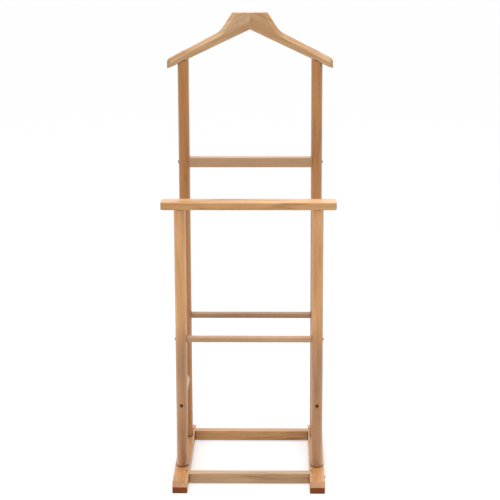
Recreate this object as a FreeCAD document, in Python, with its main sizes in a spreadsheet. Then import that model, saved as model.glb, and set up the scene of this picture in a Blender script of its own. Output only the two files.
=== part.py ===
import FreeCAD, Part
import os
import re

import Sketcher
from FreeCAD import Placement, Rotation, Vector

# A wooden valet stand. Two runners lie front to back. A low front frame of two oval posts carries a
# broad top rail, and a tall rear frame of two oval posts carries a fixed jacket hanger. Round bars,
# a crossbar, side rails and floor stretchers tie the posts and runners together with furniture bolts.
#
# Frame: millimetres, +X to the right, +Y to the back, +Z up, origin on the floor under the middle.

SIZES = [
    ("post_gauge", 355, "left post centre to right post centre"),
    ("post_width", 30, "oval post, across the stand"),
    ("post_depth", 46, "oval post, front to back"),
    ("post_end_round", 1.5, "edge radius of a post's foot and of a front post's top"),
    ("front_post_y", -100, "centre of the front posts"),
    ("rear_post_y", 140, "centre of the rear posts"),
    ("rail_underside", 722, "top of the front posts"),
    ("rail_length", 450, "top rail"),
    ("rail_depth", 54, "top rail"),
    ("rail_thickness", 20, "top rail"),
    ("rail_corner", 6, "top rail, corner radius seen from above"),
    ("rail_round", 3, "top rail, edge radius"),
    ("runner_length", 480, "runner"),
    ("runner_width", 39, "runner"),
    ("runner_height", 28, "runner"),
    ("nose_rise", 12, "runner nose bevel, height"),
    ("nose_run", 14, "runner nose bevel, length"),
    ("edge_round", 2.5, "edge radius of runners, stretchers and crossbar"),
    ("stretcher_depth", 26, "floor stretchers"),
    ("stretcher_height", 27, "floor stretchers"),
    ("stretcher_lift", 1, "gap between a stretcher and the floor"),
    ("front_stretcher_y", -156, "centre of the front stretcher"),
    ("rear_stretcher_y", 184, "centre of the rear stretcher"),
    ("lap_depth", 8, "how far a stretcher is let into a runner"),
    ("lap_round", 8, "corner radius of the notch that takes a stretcher's end"),
    ("stretcher_corner", 11, "corner radius of a stretcher's end, seen from above"),
    ("bar_diameter", 18, "trouser bar and rear bar"),
    ("bar_level", 374, "centre of both round bars"),
    ("bar_socket", 4, "how far a round bar is let into a post"),
    ("side_rail_width", 18, "oval side rail"),
    ("side_rail_height", 24, "oval side rail"),
    ("side_rail_level", 198, "centre of the side rails"),
    ("side_rail_socket", 8, "how far a side rail is let into a post"),
    ("crossbar_depth", 26, "crossbar"),
    ("crossbar_height", 27, "crossbar"),
    ("crossbar_level", 800.5, "centre of the crossbar"),
    ("crossbar_socket", 5, "how far the crossbar is let into a post"),
    ("hanger_top", 1200, "flat top of the hanger's neck"),
    ("hanger_half_span", 220, "middle of the hanger to its tip"),
    ("neck_half_width", 46.5, "half of the neck's flat top"),
    ("shoulder_x", 78.5, "where the neck's side turns into the arm"),
    ("shoulder_level", 1150, "height of that turn"),
    ("tip_top_level", 1077, "top of the arm at its tip"),
    ("tip_bottom_level", 1052.6, "underside of the arm at its tip"),
    ("notch_apex_level", 1156, "underside of the hanger at its middle"),
    ("neck_thickness", 24, "hanger, front to back at the middle"),
    ("tip_thickness", 44, "hanger, front to back at the tip"),
    ("shoulder_bevel", 10, "bevel of the hanger's upper edges, front and back"),
    ("shoulder_sweep", 60, "radius between neck side and arm, seen from the front"),
    ("tip_round", 12, "radius of the hanger's tip, seen from the front"),
    ("hanger_seat_level", 1090, "seat of the bolts that hold the hanger"),
    ("bolt_diameter", 5, "furniture bolt shank"),
    ("bolt_hole", 5.5, "clearance hole"),
    ("head_diameter", 8, "domed bolt head"),
    ("head_height", 2.4, "domed bolt head"),
    ("hex_socket", 3, "across the flats"),
    ("spot_face", 9.6, "diameter of the flat seat cut for a bolt head"),
    ("flank_seat", 0.4, "depth of the seat on a post's outer side"),
    ("front_seat", 1.2, "depth of the seat on a post's front or back"),
    ("foot_counterbore", 9, "depth of the bolt hole's wide part under a runner"),
    ("insert_diameter", 8, "threaded insert"),
    ("insert_length", 13, "threaded insert"),
    ("insert_gap", 1, "from the joint face down to the insert"),
    ("sloped_insert_gap", 3, "the same, in a rear post's sloped top"),
    ("hole_relief", 8, "empty hole behind an insert"),
    ("pin_diameter", 6, "glued dowel pin"),
    ("pin_length", 30, "glued dowel pin"),
    ("pin_offset", 13, "dowel pin to the middle of its post"),
    ("pin_in_runner", 14, "part of a dowel pin that is in the runner"),
    ("pin_in_rail", 12, "part of a dowel pin that is in the top rail"),
    ("low_hanger_pin", 1169, "height of the lower pin between the hanger's halves"),
    ("high_hanger_pin", 1187, "height of the upper one"),
    ("fit_gap", 0.1, "clearance all round a fitted piece"),
]

doc = FreeCAD.newDocument("ValetStand")
sheet = doc.addObject("Spreadsheet::Sheet", "Sizes")
for row, (alias, value, note) in enumerate(SIZES, start=1):
    sheet.set("A%d" % row, note)
    sheet.set("B%d" % row, str(value))
    sheet.setAlias("B%d" % row, alias)
doc.recompute()

LEFT, RIGHT = -1, 1
NAMES = {LEFT: "left", RIGHT: "right"}
nodes = []


def cell(alias):
    """The number in the sheet's cell with this alias."""
    return float(sheet.get(alias))


def expr(text):
    """An expression for the document, with each alias looked up in the sheet."""
    names = "|".join(alias for alias, _, _ in SIZES)
    return re.sub(r"\b(%s)\b" % names, r"Sizes.\1", text)


def value_of(text):
    """The number that an expression gives."""
    return float(sheet.evalExpression(expr(text)))


AXIS_TURN = {
    "+X": Rotation(Vector(0, 1, 0), 90),
    "-X": Rotation(Vector(0, 1, 0), -90),
    "+Y": Rotation(Vector(1, 0, 0), -90),
    "-Y": Rotation(Vector(1, 0, 0), 90),
    "+Z": Rotation(),
    "-Z": Rotation(Vector(1, 0, 0), 180),
}


def side_axis(side):
    """The direction along X that points away from the middle on this side."""
    return "+X" if side == RIGHT else "-X"


def bind_place(thing, place, prefix="Placement"):
    """Bind an object's position to three expressions."""
    for letter, text in zip("xyz", place):
        thing.setExpression("%s.Base.%s" % (prefix, letter), expr(text))


def new_body(label, place=("0", "0", "0")):
    """A body for one wooden piece, placed in the stand's frame."""
    body = doc.addObject("PartDesign::Body", label)
    body.Label = label
    bind_place(body, place)
    nodes.append(body)
    return body


def plane_sketch(body, role, offset="0"):
    """A sketch on one of the body's own origin planes, moved along the plane's normal."""
    plane = [item for item in body.Origin.OriginFeatures if item.Role == role][0]
    sketch = body.newObject("Sketcher::SketchObject", "Sketch")
    sketch.AttachmentSupport = [(plane, "")]
    sketch.MapMode = "FlatFace"
    sketch.setExpression("AttachmentOffset.Base.z", expr(offset))
    return sketch


def bind_last(sketch, text):
    """Bind the constraint that was added last to an expression."""
    sketch.setExpression("Constraints[%d]" % (sketch.ConstraintCount - 1), expr(text))


def polygon(sketch, corners):
    """A closed outline with every corner held by two dimensions from the origin."""
    points = [Vector(value_of(x), value_of(y), 0) for x, y in corners]
    count = len(points)
    for i in range(count):
        sketch.addGeometry(Part.LineSegment(points[i], points[(i + 1) % count]), False)
    for i in range(count):
        sketch.addConstraint(Sketcher.Constraint("Coincident", i, 2, (i + 1) % count, 1))
    for i, (x, y) in enumerate(corners):
        for kind, text, axis, size in (("DistanceX", x, -2, points[i].x),
                                       ("DistanceY", y, -1, points[i].y)):
            if text == "0":
                sketch.addConstraint(Sketcher.Constraint("PointOnObject", i, 1, axis))
            else:
                sketch.addConstraint(Sketcher.Constraint(kind, -1, 1, i, 1, size))
                bind_last(sketch, text)
    return sketch


def rectangle(sketch, width, height, x="0", y="0"):
    """A rectangle about the point x, y."""
    low_x, high_x = "(%s) - (%s) / 2" % (x, width), "(%s) + (%s) / 2" % (x, width)
    low_y, high_y = "(%s) - (%s) / 2" % (y, height), "(%s) + (%s) / 2" % (y, height)
    return polygon(sketch, [(low_x, low_y), (high_x, low_y), (high_x, high_y), (low_x, high_y)])


def ellipse(sketch, width, height, level="0"):
    """An upright ellipse on the sketch's vertical axis, taller than it is wide."""
    half_w, half_h, mid = value_of(width) / 2, value_of(height) / 2, value_of(level)
    centre = Vector(0, mid, 0)
    sketch.addGeometry(Part.Ellipse(Vector(0, mid + half_h, 0), Vector(half_w, mid, 0), centre), False)
    sketch.exposeInternalGeometry(0)
    sketch.addConstraint(Sketcher.Constraint("PointOnObject", 0, 3, -2))
    if level == "0":
        sketch.addConstraint(Sketcher.Constraint("PointOnObject", 0, 3, -1))
    else:
        sketch.addConstraint(Sketcher.Constraint("DistanceY", -1, 1, 0, 3, mid))
        bind_last(sketch, level)
    sketch.addConstraint(Sketcher.Constraint("Vertical", 1))
    for line, text in ((1, height), (2, width)):
        sketch.addConstraint(Sketcher.Constraint("Distance", line, value_of(text)))
        bind_last(sketch, text)
    return sketch


def circle(sketch, diameter):
    """A circle about the sketch's origin."""
    sketch.addGeometry(Part.Circle(Vector(0, 0, 0), Vector(0, 0, 1), value_of(diameter) / 2), False)
    sketch.addConstraint(Sketcher.Constraint("Coincident", 0, 3, -1, 1))
    sketch.addConstraint(Sketcher.Constraint("Diameter", 0, value_of(diameter)))
    bind_last(sketch, diameter)
    return sketch


def pad(body, sketch, length, centred=False, backwards=False):
    """Extrude a sketch into the body."""
    feature = body.newObject("PartDesign::Pad", "Pad")
    feature.Profile = sketch
    feature.setExpression("Length", expr(length))
    if centred:
        feature.SideType = "Symmetric"
    feature.Reversed = backwards
    doc.recompute()
    return feature


def pocket(body, sketch, length, centred=False, backwards=False):
    """Cut a sketch out of the body, and make sure that it cuts."""
    before = body.Shape.Volume
    feature = body.newObject("PartDesign::Pocket", "Pocket")
    feature.Profile = sketch
    feature.setExpression("Length", expr(length))
    if centred:
        feature.SideType = "Symmetric"
    feature.Reversed = backwards
    doc.recompute()
    assert body.Shape.Volume < before - 1, "%s: a pocket cuts nothing" % body.Label
    return feature


def drill(body, start, axis, diameter, depth):
    """A round hole from a point in the body's frame, along one of the axes."""
    before = body.Shape.Volume
    tool = body.newObject("PartDesign::SubtractiveCylinder", "Hole")
    tool.setExpression("Radius", expr("(%s) / 2" % diameter))
    tool.setExpression("Height", expr(depth))
    tool.Placement = Placement(Vector(), AXIS_TURN[axis])
    bind_place(tool, start)
    doc.recompute()
    assert body.Shape.Volume < before - 1, "%s: a hole cuts nothing" % body.Label
    return tool


def dress_edges(body, kind, measure, size, test):
    """Put a fillet or a chamfer of one size on every edge of the body that passes the test."""
    doc.recompute()
    base = body.Tip
    chosen = ["Edge%d" % (i + 1) for i, edge in enumerate(base.Shape.Edges) if test(edge)]
    assert chosen, "%s: no edge for a %s" % (body.Label, kind)
    feature = body.newObject("PartDesign::" + kind, kind)
    feature.Base = (base, chosen)
    feature.setExpression(measure, expr(size))
    doc.recompute()
    return feature


def soften(body, radius, test):
    """Round every edge of the body that passes the test."""
    return dress_edges(body, "Fillet", "Radius", radius, test)


def bevel(body, size, test):
    """Cut off, at 45 degrees, every edge of the body that passes the test."""
    return dress_edges(body, "Chamfer", "Size", size, test)


def runs_along(edge, direction):
    """Whether an edge is straight and parallel to a direction."""
    if not isinstance(edge.Curve, Part.Line):
        return False
    return abs(abs(edge.Curve.Direction.dot(direction)) - 1) < 1e-6


def lies_at(edge, level):
    """Whether an edge lies flat at one height in the body's frame."""
    box = edge.BoundBox
    return abs(box.ZMin - level) < 1e-4 and abs(box.ZMax - level) < 1e-4


X_AXIS, Y_AXIS, Z_AXIS = Vector(1, 0, 0), Vector(0, 1, 0), Vector(0, 0, 1)

# Sizes that follow from the sheet and that more than one piece needs.
STRETCHER_MIDDLE = "stretcher_lift + stretcher_height / 2"
INSERT_HOLE = "insert_diameter + 2 * fit_gap"
INSERT_HOLE_DEPTH = "insert_gap + insert_length + hole_relief"
PIN_HOLE = "pin_diameter + 2 * fit_gap"
PIN_RELIEF = "1"
FRONT_POST_LENGTH = "(rail_underside - runner_height)"
UNDERSIDE_SLOPE = "((notch_apex_level - tip_bottom_level) / hanger_half_span)"
REAR_POST_TOP = "(notch_apex_level - %s * post_gauge / 2)" % UNDERSIDE_SLOPE
NECK_SLOPE = "((shoulder_x - neck_half_width) / (hanger_top - shoulder_level))"
BETWEEN_POSTS = "post_gauge - post_width"


def make_runner(side):
    """A foot: bevelled noses, notches for the stretchers' ends and holes for bolts and pins."""
    body = new_body("runner_" + NAMES[side], ("%d * post_gauge / 2" % side, "0", "0"))
    low, high = "-runner_length / 2", "runner_length / 2"
    shoulder = "runner_height - nose_rise"
    outline = polygon(plane_sketch(body, "YZ_Plane"), [
        (low, "0"), (high, "0"), (high, shoulder), (high + " - nose_run", "runner_height"),
        (low + " + nose_run", "runner_height"), (low, shoulder)])
    pad(body, outline, "runner_width", centred=True)
    soften(body, "edge_round", lambda edge: not runs_along(edge, X_AXIS))
    for stretcher_y in ("front_stretcher_y", "rear_stretcher_y"):
        cut_lap(body, side, stretcher_y)
    for post_y in ("front_post_y", "rear_post_y"):
        drill(body, ("0", post_y, "0"), "+Z", "head_diameter + 3", "foot_counterbore")
        drill(body, ("0", post_y, "0"), "+Z", "bolt_hole", "runner_height")
        for sign in "+-":
            y = "%s %s pin_offset" % (post_y, sign)
            drill(body, ("0", y, "runner_height"), "-Z", PIN_HOLE, "pin_in_runner")


def cut_lap(body, side, stretcher_y):
    """The notch in a runner's inner side that takes a stretcher's rounded end, and its bolt hole."""
    inner = "%d * runner_width / 2" % -side
    notch = rectangle(plane_sketch(body, "XY_Plane"), "2 * (lap_depth + fit_gap)",
                      "stretcher_depth + 2 * fit_gap", inner, stretcher_y)
    pocket(body, notch, "4 * runner_height", centred=True)
    wall = value_of("runner_width / 2 - lap_depth - fit_gap")
    reach = value_of("stretcher_depth / 2 + 1")

    def in_notch(edge):
        point = edge.CenterOfMass
        at_wall = abs(abs(point.x) - wall) < 1e-3
        return runs_along(edge, Z_AXIS) and at_wall and abs(point.y - value_of(stretcher_y)) < reach

    soften(body, "lap_round", in_notch)
    outer = ("%d * runner_width / 2" % side, stretcher_y, STRETCHER_MIDDLE)
    drill(body, outer, side_axis(-side), "bolt_hole", "runner_width")


def start_post(label, side, post_y, length, rounded):
    """An oval post standing on a runner, with the holes at its foot and rounded rims at some heights."""
    body = new_body(label, ("%d * post_gauge / 2" % side, post_y, "runner_height"))
    pad(body, ellipse(plane_sketch(body, "XY_Plane"), "post_width", "post_depth"), length)
    soften(body, "post_end_round", lambda edge: any(lies_at(edge, level) for level in rounded))
    drill(body, ("0", "0", "0"), "+Z", INSERT_HOLE, INSERT_HOLE_DEPTH)
    for y in ("pin_offset", "-pin_offset"):
        drill(body, ("0", y, "0"), "+Z", PIN_HOLE, "pin_length - pin_in_runner + " + PIN_RELIEF)
    return body


def drill_flank(body, side, level):
    """A bolt hole across a post at one height, with a flat seat on its outer side."""
    outward, inward = side_axis(side), side_axis(-side)
    seat = "%d * (post_width / 2 - flank_seat)" % side
    drill(body, (seat, "0", level), outward, "spot_face", "post_width")
    drill(body, ("%d * post_width" % side, "0", level), inward, "bolt_hole", "2 * post_width")


def cut_bar_joint(body, side):
    """The round socket on a post's inner side, and the bolt hole behind it."""
    level = "bar_level - runner_height"
    floor = "%d * (post_width / 2 - bar_socket - fit_gap)" % -side
    drill(body, (floor, "0", level), side_axis(-side), "bar_diameter + 2 * fit_gap", "post_width")
    drill_flank(body, side, level)


def cut_side_rail_joint(body, toward):
    """The oval socket for a side rail on one face of a post, and a bolt seat on the other face."""
    back = toward == "+Y"
    away, sign = ("-Y", -1) if back else ("+Y", 1)
    level = "side_rail_level - runner_height"
    floor = "%d * (post_depth / 2 - side_rail_socket - fit_gap)" % sign
    socket = ellipse(plane_sketch(body, "XZ_Plane", floor), "side_rail_width + 2 * fit_gap",
                     "side_rail_height + 2 * fit_gap", level)
    pocket(body, socket, "post_depth", backwards=not back)
    seat = "%d * (post_depth / 2 - front_seat)" % sign
    drill(body, ("0", seat, level), away, "spot_face", "post_depth")
    drill(body, ("0", "%d * post_depth" % sign, level), toward, "bolt_hole", "2 * post_depth")


def make_front_post(side):
    """A short post that carries the top rail on two glued pins."""
    ends = (0, value_of(FRONT_POST_LENGTH))
    post = start_post("front_post_" + NAMES[side], side, "front_post_y", FRONT_POST_LENGTH, ends)
    cut_bar_joint(post, side)
    cut_side_rail_joint(post, "+Y")
    for y in ("pin_offset", "-pin_offset"):
        top = ("0", y, FRONT_POST_LENGTH)
        drill(post, top, "-Z", PIN_HOLE, "pin_length - pin_in_rail + " + PIN_RELIEF)


def make_rear_post(side):
    """A tall post that carries the hanger and takes the crossbar's end."""
    middle = "(%s - runner_height)" % REAR_POST_TOP
    post = start_post("rear_post_" + NAMES[side], side, "rear_post_y", middle + " + post_width", (0,))
    slope_post_top(post, side, middle)
    cut_bar_joint(post, side)
    cut_side_rail_joint(post, "-Y")
    cut_crossbar_joint(post, side)
    top = ("0", "0", middle + " + insert_diameter")
    drill(post, top, "-Z", INSERT_HOLE, "%s + sloped_insert_gap + insert_diameter" % INSERT_HOLE_DEPTH)


def slope_post_top(body, side, middle):
    """Cut a rear post's top to the slope of the hanger's underside."""
    fall = "(%s * post_width)" % UNDERSIDE_SLOPE
    above = middle + " + 4 * post_width"
    near, far = "%d * post_width" % -side, "%d * post_width" % side
    wedge = polygon(plane_sketch(body, "XZ_Plane"), [
        (near, "%s + %s" % (middle, fall)), (far, "%s - %s" % (middle, fall)), (far, above), (near, above)])
    pocket(body, wedge, "2 * post_depth", centred=True)


def cut_crossbar_joint(body, side):
    """The mortise on a rear post's inner side for the crossbar's end, and the bolt hole behind it."""
    level = "crossbar_level - runner_height"
    depth = "(crossbar_socket + fit_gap)"
    mortise = rectangle(plane_sketch(body, "YZ_Plane", "%d * post_width / 2" % -side),
                        "crossbar_depth + 2 * fit_gap", "crossbar_height + 2 * fit_gap", "0", level)
    pocket(body, mortise, depth, backwards=side == RIGHT)
    half_height = value_of("crossbar_height / 2 + fit_gap")
    middle = value_of(level)

    def mortise_corner(edge):
        return runs_along(edge, X_AXIS) and abs(abs(edge.CenterOfMass.z - middle) - half_height) < 1e-3

    soften(body, "edge_round", mortise_corner)
    drill_flank(body, side, level)


def make_top_rail():
    """The broad board on the front posts, rounded all round, with blind holes for its pins."""
    body = new_body("top_rail", ("0", "front_post_y", "rail_underside"))
    pad(body, rectangle(plane_sketch(body, "XY_Plane"), "rail_length", "rail_depth"), "rail_thickness")
    soften(body, "rail_corner", lambda edge: runs_along(edge, Z_AXIS))
    top = value_of("rail_thickness")
    soften(body, "rail_round", lambda edge: lies_at(edge, 0) or lies_at(edge, top))
    for side in (LEFT, RIGHT):
        for y in ("pin_offset", "-pin_offset"):
            bottom = ("%d * post_gauge / 2" % side, y, "0")
            drill(body, bottom, "+Z", PIN_HOLE, "pin_in_rail + " + PIN_RELIEF)


def make_stretcher(label, stretcher_y):
    """A bar between the runners. Its rounded ends are let into the runners' inner edges."""
    body = new_body(label, ("0", stretcher_y, "stretcher_lift"))
    length = "post_gauge - runner_width + 2 * lap_depth"
    pad(body, rectangle(plane_sketch(body, "XY_Plane"), length, "stretcher_depth"), "stretcher_height")
    soften(body, "stretcher_corner", lambda edge: runs_along(edge, Z_AXIS))
    top = value_of("stretcher_height")
    soften(body, "edge_round", lambda edge: lies_at(edge, 0) or lies_at(edge, top))
    drill_ends(body, length, "X", "stretcher_height / 2")


def drill_ends(body, length, axis, level="0"):
    """A hole for a threaded insert in each end of a piece that lies along X or Y."""
    for sign, inward in ((-1, "+"), (1, "-")):
        end = "%d * (%s) / 2" % (sign, length)
        start = (end, "0", level) if axis == "X" else ("0", end, level)
        drill(body, start, inward + axis, INSERT_HOLE, INSERT_HOLE_DEPTH)


def make_round_bar(label, post_y):
    """A dowel between two posts, let a little way into each."""
    body = new_body(label, ("0", post_y, "bar_level"))
    length = BETWEEN_POSTS + " + 2 * bar_socket"
    pad(body, circle(plane_sketch(body, "YZ_Plane"), "bar_diameter"), length, centred=True)
    drill_ends(body, length, "X")


def make_crossbar():
    """The rectangular bar high up between the rear posts."""
    body = new_body("crossbar", ("0", "rear_post_y", "crossbar_level"))
    length = BETWEEN_POSTS + " + 2 * crossbar_socket"
    section = rectangle(plane_sketch(body, "YZ_Plane"), "crossbar_depth", "crossbar_height")
    pad(body, section, length, centred=True)
    soften(body, "edge_round", lambda edge: runs_along(edge, X_AXIS))
    drill_ends(body, length, "X")


def make_side_rail(side):
    """An oval rail from a front post to the rear post behind it."""
    place = ("%d * post_gauge / 2" % side, "(front_post_y + rear_post_y) / 2", "side_rail_level")
    body = new_body("side_rail_" + NAMES[side], place)
    length = "rear_post_y - front_post_y - post_depth + 2 * side_rail_socket"
    section = ellipse(plane_sketch(body, "XZ_Plane"), "side_rail_width", "side_rail_height")
    pad(body, section, length, centred=True)
    drill_ends(body, length, "Y")


def make_hanger_half(side):
    """Half of the hanger: a tall neck that runs down into a sloping arm, thicker towards the tip."""
    body = new_body("hanger_" + NAMES[side], ("0", "rear_post_y", "0"))
    spare = "40"
    spare_x = "%d * (neck_half_width - %s * %s)" % (side, NECK_SLOPE, spare)
    tip_x = "%d * hanger_half_span" % side
    outline = polygon(plane_sketch(body, "XZ_Plane"), [
        ("0", "notch_apex_level"), (tip_x, "tip_bottom_level"), (tip_x, "tip_top_level"),
        ("%d * shoulder_x" % side, "shoulder_level"), (spare_x, "hanger_top + " + spare),
        ("0", "hanger_top + " + spare)])
    pad(body, outline, "tip_thickness", centred=True)
    for face in (-1, 1):
        taper = polygon(plane_sketch(body, "XY_Plane"), [
            ("0", "%d * neck_thickness / 2" % face), (tip_x, "%d * tip_thickness / 2" % face),
            (tip_x, "%d * tip_thickness" % face), ("0", "%d * tip_thickness" % face)])
        pocket(body, taper, "3 * hanger_top", centred=True)
    shape_hanger_edges(body)
    cut_hanger_top(body, side)
    drill_hanger(body, side)


def along_depth(edge, x, z):
    """Whether an edge runs front to back at a place seen from the front."""
    point = edge.CenterOfMass
    return runs_along(edge, Y_AXIS) and abs(abs(point.x) - x) < 1e-3 and abs(point.z - z) < 1e-3


def shape_hanger_edges(body):
    """Sweep the neck into the arm, round the tip, then bevel the long upper edges front and back."""
    shoulder = value_of("shoulder_x"), value_of("shoulder_level")
    tip = value_of("hanger_half_span"), value_of("tip_top_level")
    soften(body, "shoulder_sweep", lambda edge: along_depth(edge, *shoulder))
    soften(body, "tip_round", lambda edge: along_depth(edge, *tip))
    apex, slope = value_of("notch_apex_level"), value_of(UNDERSIDE_SLOPE)
    roof = value_of("hanger_top") + 1

    def above_underside(point):
        return point.z - (apex - slope * abs(point.x))

    def upper(edge):
        point = edge.CenterOfMass
        off_seam = abs(point.x) > 1 and abs(point.y) > 1
        flat_roof = edge.BoundBox.ZMin > roof
        return off_seam and above_underside(point) > 1 and not flat_roof

    bevel(body, "shoulder_bevel", upper)

    def under(edge):
        on_plane = all(abs(above_underside(vertex.Point)) < 1e-3 for vertex in edge.Vertexes)
        return on_plane and abs(edge.CenterOfMass.x) > 1 and abs(above_underside(edge.CenterOfMass)) < 1e-3

    soften(body, "edge_round", under)


def cut_hanger_top(body, side):
    """Cut the neck off flat and take the sharpness off the cut."""
    top = value_of("hanger_top")
    level = plane_sketch(body, "XY_Plane", "hanger_top")
    slab = rectangle(level, "4 * neck_half_width", "4 * neck_thickness")
    pocket(body, slab, "hanger_top", backwards=True)
    soften(body, "edge_round / 2", lambda edge: lies_at(edge, top) and abs(edge.CenterOfMass.x) > 1)


def drill_hanger(body, side):
    """The bolt hole over the rear post, sunk from above, and the pin holes in the seam."""
    over_post = "%d * post_gauge / 2" % side
    drill(body, (over_post, "0", "hanger_seat_level"), "+Z", "spot_face", "post_width")
    drill(body, (over_post, "0", "hanger_seat_level + 1"), "-Z", "bolt_hole", "2 * post_width")
    for level in ("low_hanger_pin", "high_hanger_pin"):
        drill(body, ("0", "0", level), side_axis(side), PIN_HOLE, "pin_length / 2 + " + PIN_RELIEF)


def revolved(outline):
    """A solid of revolution about Z from an outline of edges in the XZ plane."""
    return Part.Face(Part.Wire(outline)).revolve(Vector(), Z_AXIS, 360)


def joined_lines(points):
    """Straight edges from point to point, each point given as radius and height."""
    corners = [Vector(radius, 0, height) for radius, height in points]
    return [Part.LineSegment(a, b).toShape() for a, b in zip(corners, corners[1:])]


def bolt_shape(length):
    """A furniture bolt along Z: a domed head above the origin and its shank below it."""
    shank, head, height = cell("bolt_diameter") / 2, cell("head_diameter") / 2, cell("head_height")
    rim, end_bevel = height / 5, shank / 4
    dome = Part.Arc(Vector(0, 0, height), Vector(head * 0.62, 0, height * 0.82), Vector(head, 0, rim))
    rest = joined_lines([(head, rim), (head, 0), (shank, 0), (shank, end_bevel - length),
                         (shank - end_bevel, -length), (0, -length), (0, height)])
    across = cell("hex_socket")
    corner = across / 3 ** 0.5
    hexagon = Part.makePolygon([Rotation(Z_AXIS, 60 * i).multVec(Vector(corner, 0, 0)) for i in range(7)])
    socket = Part.Face(hexagon).extrude(Vector(0, 0, height))
    socket.translate(Vector(0, 0, height * 0.35))
    return revolved([dome.toShape()] + rest).cut(socket)


def insert_shape():
    """A threaded insert along Z, its mouth at the origin: a tube with ridges round the outside."""
    bore = cell("bolt_diameter") / 2 + cell("fit_gap") / 2
    crest = cell("insert_diameter") / 2
    root, length, ridges = crest * 0.9, cell("insert_length"), 6
    pitch = length / ridges
    points = [(bore, 0), (crest, 0)]
    for i in range(ridges):
        points += [(root, -(i + 0.5) * pitch), (crest, -(i + 1) * pitch)]
    return revolved(joined_lines(points + [(bore, -length), (bore, 0)]))


def pin_shape():
    """A dowel pin along Z with bevelled ends, its middle at the origin."""
    radius, half = cell("pin_diameter") / 2, cell("pin_length") / 2
    bevel = radius / 3
    return revolved(joined_lines([(0, -half), (radius - bevel, -half), (radius, bevel - half),
                                  (radius, half - bevel), (radius - bevel, half), (0, half), (0, -half)]))


def fastener_group(label, shape, places):
    """One node for identical fasteners: a separate solid at each place, pointing along its axis."""
    group = doc.addObject("Part::Feature", label)
    group.Label = label
    solids = []
    for (x, y, z), axis in places:
        solid = shape.copy()
        solid.Placement = Placement(Vector(x, y, z), AXIS_TURN[axis])
        solids.append(solid)
    group.Shape = Part.makeCompound(solids)
    nodes.append(group)


def bolted_joints(name, seats, wall, gap="insert_gap"):
    """Bolts and inserts of one kind of joint. Each seat is a head's place and the way it faces."""
    wall, gap = value_of(wall), value_of(gap)
    grip = value_of("insert_length") - 1
    fastener_group(name + "_bolts", bolt_shape(wall + gap + grip), seats)
    mouths = []
    for place, axis in seats:
        outward = AXIS_TURN[axis].multVec(Z_AXIS)
        mouth = Vector(*place) - outward * (wall + gap)
        mouths.append(((mouth.x, mouth.y, mouth.z), axis))
    fastener_group(name + "_inserts", insert_shape(), mouths)


def both_sides(x, y, z):
    """Seats on both sides of the stand at one depth and height, facing away from its middle."""
    return [((side * x, y, z), side_axis(side)) for side in (LEFT, RIGHT)]


def make_fasteners():
    """Every bolt, threaded insert and dowel pin of the stand."""
    post_x = value_of("post_gauge / 2")
    front_y, rear_y = cell("front_post_y"), cell("rear_post_y")
    flank = value_of("post_gauge / 2 + post_width / 2 - flank_seat")

    bars = both_sides(flank, front_y, cell("bar_level")) + both_sides(flank, rear_y, cell("bar_level"))
    bolted_joints("bar", bars, "post_width - flank_seat - bar_socket")

    crossbar = both_sides(flank, rear_y, cell("crossbar_level"))
    bolted_joints("crossbar", crossbar, "post_width - flank_seat - crossbar_socket")

    reach, level = value_of("post_depth / 2 - front_seat"), cell("side_rail_level")
    rails = [((x, y, level), axis) for x in (-post_x, post_x)
             for y, axis in ((front_y - reach, "-Y"), (rear_y + reach, "+Y"))]
    bolted_joints("side_rail", rails, "post_depth - front_seat - side_rail_socket")

    runner_side = value_of("post_gauge / 2 + runner_width / 2")
    stretchers = []
    for stretcher_y in ("front_stretcher_y", "rear_stretcher_y"):
        stretchers += both_sides(runner_side, cell(stretcher_y), value_of(STRETCHER_MIDDLE))
    bolted_joints("stretcher", stretchers, "runner_width - lap_depth")

    feet = [((x, y, cell("foot_counterbore")), "-Z") for x in (-post_x, post_x) for y in (front_y, rear_y)]
    bolted_joints("foot", feet, "runner_height - foot_counterbore")

    hanger = [((x, rear_y, cell("hanger_seat_level")), "+Z") for x in (-post_x, post_x)]
    bolted_joints("hanger", hanger, "hanger_seat_level - %s" % REAR_POST_TOP, "sloped_insert_gap")

    make_pins(post_x, (front_y, rear_y))


def make_pins(post_x, post_rows):
    """Glued pins: under every post, between the front posts and the top rail, and in the hanger."""
    offset = cell("pin_offset")
    pin = pin_shape()
    foot_z = value_of("runner_height - pin_in_runner + pin_length / 2")
    foot = [((x, y + shift, foot_z), "+Z") for x in (-post_x, post_x) for y in post_rows
            for shift in (-offset, offset)]
    fastener_group("foot_pins", pin, foot)
    rail_z = value_of("rail_underside + pin_in_rail - pin_length / 2")
    front_y = post_rows[0]
    rail = [((x, front_y + shift, rail_z), "+Z") for x in (-post_x, post_x) for shift in (-offset, offset)]
    fastener_group("rail_pins", pin, rail)
    levels = (cell("low_hanger_pin"), cell("high_hanger_pin"))
    fastener_group("hanger_pins", pin, [((0, post_rows[1], level), "+X") for level in levels])


for stand_side in (LEFT, RIGHT):
    make_runner(stand_side)
    make_front_post(stand_side)
    make_rear_post(stand_side)
    make_side_rail(stand_side)
    make_hanger_half(stand_side)
make_top_rail()
make_round_bar("trouser_bar", "front_post_y")
make_round_bar("rear_bar", "rear_post_y")
make_crossbar()
make_stretcher("front_stretcher", "front_stretcher_y")
make_stretcher("rear_stretcher", "rear_stretcher_y")
make_fasteners()

doc.recompute()
for item in doc.Objects:
    assert "Invalid" not in item.State and "Error" not in item.State, item.Label
for node in nodes:
    assert not node.Shape.isNull() and node.Shape.isValid(), node.Label
os.makedirs("parts", exist_ok=True)
for node in nodes:
    node.Shape.exportStep("parts/%s.step" % node.Label)
    print(node.Label, len(node.Shape.Solids), round(node.Shape.Volume / 1000, 2))
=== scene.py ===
import math

import bpy
from mathutils import Euler, Matrix, Vector

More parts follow.
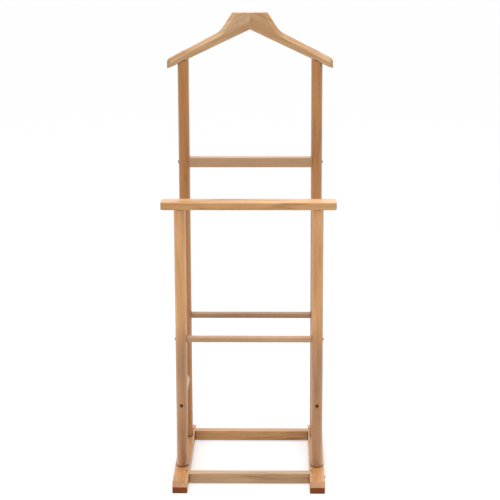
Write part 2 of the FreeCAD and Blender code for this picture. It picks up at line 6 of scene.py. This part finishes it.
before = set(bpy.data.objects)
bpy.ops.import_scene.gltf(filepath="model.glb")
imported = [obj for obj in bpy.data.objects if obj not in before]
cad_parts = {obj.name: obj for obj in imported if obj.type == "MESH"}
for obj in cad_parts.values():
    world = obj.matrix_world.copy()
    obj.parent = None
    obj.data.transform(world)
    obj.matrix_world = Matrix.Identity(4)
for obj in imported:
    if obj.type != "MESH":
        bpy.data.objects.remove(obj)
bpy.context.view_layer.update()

MM = 0.001
PER_METRE = 1000  # millimetres
QUARTER_TURN = math.pi / 2


# ---------------------------------------------------------------- node helpers

class Tree:
    """Short calls for the nodes that the materials are made of. Values are numbers or sockets."""

    def __init__(self, tree):
        self.tree = tree

    def feed(self, socket, value):
        if isinstance(value, bpy.types.NodeSocket):
            self.tree.links.new(value, socket)
        else:
            socket.default_value = value

    def add(self, kind, inputs=(), **settings):
        node = self.tree.nodes.new(kind)
        for name, value in settings.items():
            setattr(node, name, value)
        for key, value in dict(inputs).items():
            self.feed(node.inputs[key], value)
        return node

    def math(self, operation, *values, clamp=False):
        inputs = dict(enumerate(values))
        return self.add("ShaderNodeMath", inputs, operation=operation, use_clamp=clamp).outputs[0]

    def vector(self, operation, *values):
        node = self.add("ShaderNodeVectorMath", dict(enumerate(values)), operation=operation)
        return node.outputs["Value" if operation in ("LENGTH", "DOT_PRODUCT") else "Vector"]

    def noise(self, vector, size, detail=2.0, roughness=0.5, colour=False):
        """Noise from 0 to 1 whose features are about size (three lengths) across."""
        stretched = self.vector("DIVIDE", vector, size)
        inputs = {"Vector": stretched, "Scale": 1.0, "Detail": detail, "Roughness": roughness}
        return self.add("ShaderNodeTexNoise", inputs).outputs["Color" if colour else "Fac"]

    def ramp(self, value, low, high, to_low=0.0, to_high=1.0):
        """A smooth step: to_low where value is at low, to_high where it is at high."""
        inputs = {"Value": value, "From Min": low, "From Max": high, "To Min": to_low, "To Max": to_high}
        return self.add("ShaderNodeMapRange", inputs, interpolation_type="SMOOTHSTEP").outputs["Result"]

    def mix(self, factor, a, b, blend="MIX"):
        node = self.add("ShaderNodeMix", data_type="RGBA", blend_type=blend)
        self.feed(node.inputs["Factor"], factor)
        self.feed(node.inputs["A"], a)
        self.feed(node.inputs["B"], b)
        return [s for s in node.outputs if s.type == "RGBA"][0]


def group(name, inputs, outputs):
    """An empty node group, its input socket by name, and a call that feeds an output."""
    made = bpy.data.node_groups.new(name, "ShaderNodeTree")
    for title, kind in inputs:
        made.interface.new_socket(title, in_out="INPUT", socket_type="NodeSocket" + kind)
    for title, kind in outputs:
        made.interface.new_socket(title, in_out="OUTPUT", socket_type="NodeSocket" + kind)
    tree = Tree(made)
    return made, tree, tree.add("NodeGroupInput").outputs, tree.add("NodeGroupOutput").inputs


def colour(r, g, b):
    return (r, g, b, 1.0)


# ---------------------------------------------------------------- wood

# Sizes of the grain's features in millimetres: across the grain twice, then along it.
SLOW_WAVE = (60, 60, 420)
QUICK_WAVE = (8, 8, 110)
RING_PATCH = (18, 18, 160)
FIBRE = (0.8, 0.8, 38)
PORE = (0.45, 0.45, 4.5)
DRIFT = (34, 34, 210)
BROAD_STREAK = (9, 9, 130)
BROAD_PATCH = (30, 30, 190)
NARROW_STREAK = (2.6, 2.6, 150)
# the ragged edge of painted light or shade along a board
PAINTED_LIGHT_FRINGE = (20, 20, 90)
# patches along the edges where wear and painted highlight are strongest
WORN_AND_HIGHLIGHT_PATCH = (7, 7, 30)
GLOSS_PATCH = (14, 14, 60)

# Growth rings in millimetres: how far waves push them, their spacing, and how it varies from the pith out.
SLOW_PUSH = (26, 26, 0)
QUICK_PUSH = (1.8, 1.8, 0)
RING_SPACING = 3.4
SPACING_WAVE = 17.0
SPACING_PUSH = 9.0

# How raggedly painted light or shade sets in along a board, in millimetres.
PAINTED_LIGHT_RAGGED = 90.0

# Two colours that cover the wood, and two that multiply it.
PORE_BROWN = (0.16, 0.062, 0.022)
# the dark brown of joints: finish and dust there, and painted shade in every crevice
GRIME_AND_SHADE_BROWN = (0.07, 0.024, 0.008)
STREAK_TINT = (0.56, 0.45, 0.30)
# a pale tint for edges: wear, and painted edge highlights
WORN_AND_HIGHLIGHT_TINT = (1.35, 1.42, 1.55)

# How much of pores, of wear with painted edge highlights, and of grime with painted shade shows where they
# are strongest.
PORE_MOST = 0.38
WORN_AND_HIGHLIGHT_MOST = 0.8
GRIME_AND_SHADE_MOST = 0.85

# Lengths in metres.
# how far from an edge the wear and painted highlights reach
WORN_AND_HIGHLIGHT_RADIUS = 1.6 * MM
# how far from a crevice the painted shade and joint dust reach
GRIME_AND_SHADE_REACH = 5.0 * MM
GRAIN_RELIEF = 0.12 * MM


def make_wood_group():
    """Lacquered light hardwood.

    Place is in millimetres, with the grain along Z and the pith on the Z axis.
    """
    made, t, given, result = group(
        "wood",
        [("Place", "Vector"), ("Facing", "Vector"), ("Pale", "Color"), ("Deep", "Color"),
         ("End", "Color"), ("Figure", "Float"), ("Mottle", "Float"), ("Streak", "Float"),
         ("Painted light", "Color"), ("Start", "Float"), ("Finish", "Float")],
        [("Color", "Color"), ("Roughness", "Float"), ("Coat", "Float"), ("Normal", "Vector")])
    place = given["Place"]

    # growth rings: the distance from the pith, pushed about by slow and quick waves
    middle = (0.5, 0.5, 0.5)
    slow = t.vector("SUBTRACT", t.noise(place, SLOW_WAVE, 1.0, colour=True), middle)
    quick = t.vector("SUBTRACT", t.noise(place, QUICK_WAVE, 2.0, colour=True), middle)
    pushed = t.vector("ADD", place, t.vector("MULTIPLY", slow, SLOW_PUSH))
    pushed = t.vector("ADD", pushed, t.vector("MULTIPLY", quick, QUICK_PUSH))
    radius = t.vector("LENGTH", t.vector("MULTIPLY", pushed, (1, 1, 0)))
    outwards = {"W": t.math("DIVIDE", radius, SPACING_WAVE), "Scale": 1.0, "Detail": 1.0}
    uneven = t.add("ShaderNodeTexNoise", outwards, noise_dimensions="1D").outputs["Fac"]
    radius = t.math("MULTIPLY_ADD", uneven, SPACING_PUSH, radius)
    phase = t.math("FRACT", t.math("DIVIDE", radius, RING_SPACING))
    late = t.math("MULTIPLY", t.ramp(phase, 0.25, 0.93), t.ramp(phase, 1.0, 0.94))
    strength = t.ramp(t.noise(place, RING_PATCH, 1.0), 0.3, 0.7, 0.35, 1.0)
    rings = t.math("MULTIPLY", late, strength)

    # fibres, pores and the broad drift of tone along a board
    fibre = t.noise(place, FIBRE, 3.0, 0.6)
    pore = t.ramp(t.noise(place, PORE, 1.0), 0.60, 0.68)
    drift = t.ramp(t.noise(place, DRIFT, 2.0, 0.55), 0.32, 0.68)

    shade = t.math("MULTIPLY", rings, given["Figure"])
    shade = t.math("MULTIPLY_ADD", t.math("SUBTRACT", fibre, 0.5), 0.7, shade)
    shade = t.math("MULTIPLY_ADD", drift, given["Mottle"], shade, clamp=True)
    wood = t.mix(shade, given["Pale"], given["Deep"])
    wood = t.mix(t.math("MULTIPLY", pore, PORE_MOST), wood, colour(*PORE_BROWN))

    # brown heartwood streaks, broad ones here and there and narrow ones all along
    broad = t.ramp(t.noise(place, BROAD_STREAK, 3.0, 0.6), 0.46, 0.72)
    where = t.ramp(t.noise(place, BROAD_PATCH, 1.0), 0.42, 0.62)
    narrow = t.ramp(t.noise(place, NARROW_STREAK, 3.0, 0.65), 0.50, 0.72)
    streak = t.math("MULTIPLY_ADD", narrow, 0.55, t.math("MULTIPLY", broad, where))
    streak = t.math("MULTIPLY", streak, given["Streak"], clamp=True)
    wood = t.mix(streak, wood, t.mix(1.0, wood, colour(*STREAK_TINT), "MULTIPLY"))

    # painted light along a board: from one place along the grain on, a colour multiplies the tone, darker
    # for painted shade and paler for a painted highlight
    along = t.add("ShaderNodeSeparateXYZ", {"Vector": place}).outputs["Z"]
    along = t.math("MULTIPLY_ADD", t.noise(place, PAINTED_LIGHT_FRINGE, 2.0), PAINTED_LIGHT_RAGGED, along)
    painted_light_shift = t.ramp(along, given["Start"], given["Finish"])
    wood = t.mix(painted_light_shift, wood, t.mix(1.0, wood, given["Painted light"], "MULTIPLY"))

    # end grain drinks more of the finish, so it is darker, redder and duller
    facing = t.add("ShaderNodeSeparateXYZ", {"Vector": given["Facing"]}).outputs["Z"]
    end = t.ramp(t.math("ABSOLUTE", facing), 0.50, 0.93)
    wood = t.mix(end, wood, t.mix(1.0, wood, given["End"], "MULTIPLY"))

    # edges lightened and whitened: rubbed by hands and cloth, and painted highlights along the edges
    true_normal = t.add("ShaderNodeNewGeometry").outputs["Normal"]
    rounded = t.add("ShaderNodeBevel", {"Radius": WORN_AND_HIGHLIGHT_RADIUS}, samples=4).outputs["Normal"]
    edge = t.ramp(t.vector("DOT_PRODUCT", rounded, true_normal), 0.985, 0.86)
    worn_and_highlight = t.math("MULTIPLY", edge, t.ramp(t.noise(place, WORN_AND_HIGHLIGHT_PATCH, 2.0), 0.35, 0.65, 0.25, 1.0))
    worn_and_highlight = t.math("MULTIPLY", worn_and_highlight, WORN_AND_HIGHLIGHT_MOST)
    wood = t.mix(worn_and_highlight, wood, t.mix(1.0, wood, colour(*WORN_AND_HIGHLIGHT_TINT), "MULTIPLY"))

    # finish and dust that have gathered in the joints, and painted shade: the colour darkens wherever
    # ambient occlusion finds a joint or crevice
    open_air = t.add("ShaderNodeAmbientOcclusion", {"Distance": GRIME_AND_SHADE_REACH}, samples=8).outputs["AO"]
    grime_and_shade = t.ramp(open_air, 0.86, 0.42, 0.0, GRIME_AND_SHADE_MOST)
    wood = t.mix(grime_and_shade, wood, colour(*GRIME_AND_SHADE_BROWN))
    t.feed(result["Color"], wood)

    # pores and end grain are rougher, and end grain has hardly any of the clear coat
    rough = t.math("MULTIPLY_ADD", t.noise(place, GLOSS_PATCH, 2.0), 0.14, 0.27)
    rough = t.math("MULTIPLY_ADD", pore, 0.12, rough)
    rough = t.math("MULTIPLY_ADD", end, 0.35, rough)
    t.feed(result["Roughness"], rough)
    t.feed(result["Coat"], t.math("MULTIPLY_ADD", end, -0.11, 0.12))

    # fibres stand up, late wood and pores lie lower
    height = t.math("MULTIPLY_ADD", fibre, 0.5, t.math("MULTIPLY", rings, -0.25))
    height = t.math("MULTIPLY_ADD", pore, -0.5, height)
    bump = t.add("ShaderNodeBump", {"Strength": 0.35, "Distance": GRAIN_RELIEF, "Height": height})
    t.feed(result["Normal"], bump.outputs["Normal"])
    return made


WOOD = make_wood_group()

# How a piece is turned so that its grain lies along Z.
ARM_SLOPE = math.radians(25.2)
GRAIN = {
    "X": (0, -QUARTER_TURN, 0),
    "Y": (QUARTER_TURN, 0, 0),
    "Z": (0, 0, 0),
    "arm_left": (0, QUARTER_TURN + ARM_SLOPE, 0),
    "arm_right": (0, -QUARTER_TURN - ARM_SLOPE, 0),
}
# no painted light or shade along the grain
NO_PAINTED_LIGHT = ((1, 1, 1), 0, 1)


def wood(name, grain, pith, tone, figure, mottle, streak, end, painted_light=NO_PAINTED_LIGHT):
    """A wood material for one piece.

    pith is added to every turned place, in millimetres. It sets where the tree's middle passes the piece
    and which stretch of the tree the piece is cut from. The last argument is painted light or shade: a
    colour that multiplies the tone, and the two places along the grain between which it sets in.
    """
    pale, deep = tone
    painted_light_shift, start, finish = painted_light
    material = bpy.data.materials.new(name)
    material.use_nodes = True
    t = Tree(material.node_tree)
    shader = material.node_tree.nodes["Principled BSDF"]
    turn = Euler(GRAIN[grain])
    coords = t.add("ShaderNodeTexCoord").outputs["Object"]
    moved = {"Vector": coords, "Rotation": turn, "Scale": (PER_METRE,) * 3, "Location": pith}
    place = t.add("ShaderNodeMapping", moved, vector_type="POINT")
    normal = t.add("ShaderNodeNewGeometry").outputs["Normal"]
    facing = t.add("ShaderNodeMapping", {"Vector": normal, "Rotation": turn}, vector_type="VECTOR")
    look = t.add("ShaderNodeGroup", node_tree=WOOD)
    given = {
        "Place": place.outputs[0],
        "Facing": facing.outputs[0],
        "Pale": colour(*pale),
        "Deep": colour(*deep),
        "End": colour(*end),
        "Figure": figure,
        "Mottle": mottle,
        "Streak": streak,
        "Painted light": colour(*painted_light_shift),
        "Start": start + pith[2],
        "Finish": finish + pith[2],
    }
    for key, value in given.items():
        t.feed(look.inputs[key], value)
    t.feed(shader.inputs["Base Color"], look.outputs["Color"])
    t.feed(shader.inputs["Roughness"], look.outputs["Roughness"])
    t.feed(shader.inputs["Normal"], look.outputs["Normal"])
    t.feed(shader.inputs["Coat Weight"], look.outputs["Coat"])
    shader.inputs["Coat Roughness"].default_value = 0.22
    shader.inputs["Specular IOR Level"].default_value = 0.34
    return material


# ---------------------------------------------------------------- metal

# Feature sizes in millimetres, then two lengths in metres.
CLOUD = (2.2, 2.2, 2.2)
SCRATCH = (0.15, 0.9, 0.15)
RUBBED_RADIUS = 0.3 * MM
SCRATCH_RELIEF = 0.04 * MM


def metal(name, base, rubbed, roughness):
    """Plated metal: uneven plating, fine scratches and edges rubbed to a lighter tone."""
    material = bpy.data.materials.new(name)
    material.use_nodes = True
    t = Tree(material.node_tree)
    shader = material.node_tree.nodes["Principled BSDF"]
    place = t.vector("SCALE", t.add("ShaderNodeTexCoord").outputs["Object"])
    place.node.inputs["Scale"].default_value = PER_METRE
    cloudy = t.noise(place, CLOUD, 3.0)
    scratch = t.ramp(t.noise(place, SCRATCH, 2.0), 0.55, 0.75)
    true_normal = t.add("ShaderNodeNewGeometry").outputs["Normal"]
    rounded = t.add("ShaderNodeBevel", {"Radius": RUBBED_RADIUS}, samples=4).outputs["Normal"]
    edge = t.ramp(t.vector("DOT_PRODUCT", rounded, true_normal), 0.97, 0.80)
    tone = t.math("MULTIPLY_ADD", edge, 0.6, t.math("MULTIPLY", cloudy, 0.4), clamp=True)
    t.feed(shader.inputs["Base Color"], t.mix(tone, colour(*base), colour(*rubbed)))
    dull = t.math("MULTIPLY_ADD", cloudy, 0.2, roughness)
    t.feed(shader.inputs["Roughness"], t.math("MULTIPLY_ADD", scratch, 0.1, dull))
    bump = t.add("ShaderNodeBump", {"Strength": 0.3, "Distance": SCRATCH_RELIEF, "Height": scratch})
    t.feed(shader.inputs["Normal"], bump.outputs["Normal"])
    shader.inputs["Metallic"].default_value = 1.0
    return material


# ---------------------------------------------------------------- which piece has which look

# Each tone is the colour of the pale early wood and of the dark late wood.
POST = ((0.76, 0.41, 0.175), (0.55, 0.255, 0.085))
# the rear posts take a darker copy of the post tone: painted shade for posts standing behind the front ones
REAR_POST_PAINTED_SHADE = ((0.50, 0.23, 0.075), (0.36, 0.145, 0.037))
RAIL = ((0.64, 0.355, 0.14), (0.45, 0.205, 0.062))
HANGER_LEFT = ((0.63, 0.43, 0.26), (0.40, 0.22, 0.095))
HANGER_RIGHT = ((0.60, 0.395, 0.225), (0.39, 0.20, 0.075))
RUNNER = ((0.60, 0.31, 0.125), (0.37, 0.15, 0.042))
FRONT_STRETCHER = ((0.62, 0.39, 0.21), (0.38, 0.215, 0.092))
REAR_STRETCHER = ((0.64, 0.355, 0.14), (0.39, 0.18, 0.06))
BAR = ((0.56, 0.35, 0.205), (0.37, 0.205, 0.098))
# the rear bar takes a darker copy of the bar tone: painted shade
REAR_BAR_PAINTED_SHADE = ((0.39, 0.24, 0.135), (0.265, 0.14, 0.067))
CROSSBAR = ((0.50, 0.315, 0.18), (0.36, 0.20, 0.092))

# End grain multiplies the tone by one of these.
DARK_END = (0.46, 0.20, 0.04)
MILD_END = (0.62, 0.50, 0.38)

# Painted light and shade along the grain: the colour that multiplies the tone, and where along the grain it
# begins and is complete.
# painted shade: the front posts darker and greyer towards the floor, where less light falls
LOW_PAINTED_SHADE = ((0.70, 0.69, 0.80), 500, 340)
# painted highlight: the top rail paler and whiter towards its right end
RIGHT_PAINTED_HIGHLIGHT = ((1.20, 1.34, 1.60), 60, 190)

PIN_LOOK = (BAR, 0.4, 0.3, 0.2, MILD_END)

WOODEN = {
    # node: grain, pith, tone, figure, mottle, streak, end, painted light or shade along the grain
    "runner_left": ("Y", (38, 60, 0), RUNNER, 0.5, 0.45, 0.4, DARK_END),
    "runner_right": ("Y", (-52, 74, 300), RUNNER, 0.5, 0.45, 0.4, DARK_END),
    "front_post_left": ("Z", (150, 92, 40), POST, 0.4, 0.45, 0.3, MILD_END, LOW_PAINTED_SHADE),
    "front_post_right": ("Z", (-120, 160, 910), POST, 0.4, 0.5, 0.3, MILD_END, LOW_PAINTED_SHADE),
    "rear_post_left": ("Z", (240, -70, 500), REAR_POST_PAINTED_SHADE, 0.4, 0.5, 0.3, MILD_END),
    "rear_post_right": ("Z", (-110, -190, 1500), REAR_POST_PAINTED_SHADE, 0.4, 0.5, 0.3, MILD_END),
    "side_rail_left": ("Y", (60, 230, 60), BAR, 0.45, 0.4, 0.3, MILD_END),
    "side_rail_right": ("Y", (-240, 210, 760), BAR, 0.45, 0.4, 0.3, MILD_END),
    "top_rail": ("X", (810, 140, 15), RAIL, 0.6, 0.55, 0.9, MILD_END, RIGHT_PAINTED_HIGHLIGHT),
    "trouser_bar": ("X", (410, 125, 70), BAR, 0.4, 0.4, 0.3, MILD_END),
    "rear_bar": ("X", (420, -110, 640), REAR_BAR_PAINTED_SHADE, 0.4, 0.4, 0.3, MILD_END),
    "crossbar": ("X", (860, -90, 250), CROSSBAR, 0.4, 0.4, 0.3, MILD_END),
    "front_stretcher": ("X", (90, 190, 410), FRONT_STRETCHER, 0.5, 0.45, 0.7, MILD_END),
    "rear_stretcher": ("X", (60, -240, 1210), REAR_STRETCHER, 0.5, 0.45, 0.7, MILD_END),
    "hanger_left": ("arm_left", (1090, -120, 0), HANGER_LEFT, 0.7, 0.75, 0.6, MILD_END),
    "hanger_right": ("arm_right", (-1090, -95, 350), HANGER_RIGHT, 0.8, 0.6, 0.9, MILD_END),
    "foot_pins": ("Z", (30, 20, 0), *PIN_LOOK),
    "rail_pins": ("Z", (20, 30, 0), *PIN_LOOK),
    "hanger_pins": ("X", (1100, -120, 0), *PIN_LOOK),
}


def dress(name, material):
    """Give a CAD node one material."""
    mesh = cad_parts[name].data
    mesh.materials.clear()
    mesh.materials.append(material)


for title, look in WOODEN.items():
    dress(title, wood("wood_" + title, *look))
bronze = metal("dark_bronze", base=(0.055, 0.026, 0.012), rubbed=(0.20, 0.115, 0.06), roughness=0.36)
brass = metal("plain_brass", base=(0.60, 0.42, 0.17), rubbed=(0.82, 0.66, 0.36), roughness=0.25)
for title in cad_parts:
    if title.endswith("_bolts"):
        dress(title, bronze)
    if title.endswith("_inserts"):
        dress(title, brass)


# ---------------------------------------------------------------- studio

def make_floor():
    """A plain pale floor just below the feet, far larger than the view. It glows a little, to stay white."""
    half = 40.0
    gap = 0.2 * MM
    corners = [(-half, -half, 0), (half, -half, 0), (half, half, 0), (-half, half, 0)]
    mesh = bpy.data.meshes.new("floor")
    mesh.from_pydata(corners, [], [(0, 1, 2, 3)])
    floor = bpy.data.objects.new("floor", mesh)
    bpy.context.scene.collection.objects.link(floor)
    floor.location.z = -gap
    material = bpy.data.materials.new("floor")
    material.use_nodes = True
    shader = material.node_tree.nodes["Principled BSDF"]
    shader.inputs["Base Color"].default_value = colour(0.52, 0.52, 0.52)
    shader.inputs["Roughness"].default_value = 0.9
    shader.inputs["Emission Color"].default_value = colour(1, 1, 1)
    shader.inputs["Emission Strength"].default_value = 0.42
    mesh.materials.append(material)


def area_light(name, at, aim, size, power):
    """A square soft box at one point that faces another."""
    data = bpy.data.lights.new(name, "AREA")
    data.shape, data.size, data.energy = "SQUARE", size, power
    lamp = bpy.data.objects.new(name, data)
    lamp.location = at
    lamp.rotation_euler = (Vector(aim) - Vector(at)).to_track_quat("-Z", "Y").to_euler()
    bpy.context.scene.collection.objects.link(lamp)


def sun(name, towards, strength, softness):
    """Even light over the whole floor. softness is the sun's width in degrees."""
    data = bpy.data.lights.new(name, "SUN")
    data.energy, data.angle = strength, math.radians(softness)
    lamp = bpy.data.objects.new(name, data)
    lamp.rotation_euler = Vector(towards).to_track_quat("-Z", "Y").to_euler()
    bpy.context.scene.collection.objects.link(lamp)


def make_camera():
    """The camera, far off and above the stand, looking down and slightly to the left."""
    at = (0.0923, -4.468, 1.6262)
    pitch, yaw, roll = math.radians(13.065), math.radians(1.170), math.radians(-0.206)
    data = bpy.data.cameras.new("camera")
    data.lens, data.sensor_width = 125.24, 36.0
    data.clip_start, data.clip_end = 0.1, 200.0
    camera = bpy.data.objects.new("camera", data)
    turn = Euler((QUARTER_TURN - pitch, 0, yaw)).to_matrix() @ Matrix.Rotation(roll, 3, "Z")
    camera.matrix_world = Matrix.Translation(at) @ turn.to_4x4()
    bpy.context.scene.collection.objects.link(camera)
    bpy.context.scene.camera = camera


def make_world(front, back):
    """A studio whose light grows from front, on the camera's side, to back, behind the stand.

    Seen directly, it is plain white.
    """
    world = bpy.data.worlds.new("studio")
    bpy.context.scene.world = world
    world.use_nodes = True
    t = Tree(world.node_tree)
    towards = t.add("ShaderNodeTexCoord").outputs["Generated"]
    y = t.add("ShaderNodeSeparateXYZ", {"Vector": towards}).outputs["Y"]
    background = world.node_tree.nodes["Background"]
    background.inputs["Color"].default_value = colour(1, 1, 1)
    seen = t.add("ShaderNodeLightPath").outputs["Is Camera Ray"]
    t.feed(background.inputs["Strength"], t.math("MAXIMUM", t.ramp(y, -0.3, 0.9, front, back), seen))


make_floor()
area_light("overhead", at=(0.1, -0.2, 2.7), aim=(0, 0, 0.6), size=1.5, power=26)
area_light("key", at=(-1.9, -1.7, 1.8), aim=(0, 0, 0.7), size=1.4, power=15)
area_light("side", at=(1.9, -0.9, 1.6), aim=(0, 0, 0.7), size=1.2, power=7)
sun("top", towards=(0.05, 0.15, -1.0), strength=1.75, softness=50)
make_world(front=0.12, back=1.25)
bpy.context.scene.view_settings.view_transform = "Standard"
make_camera()
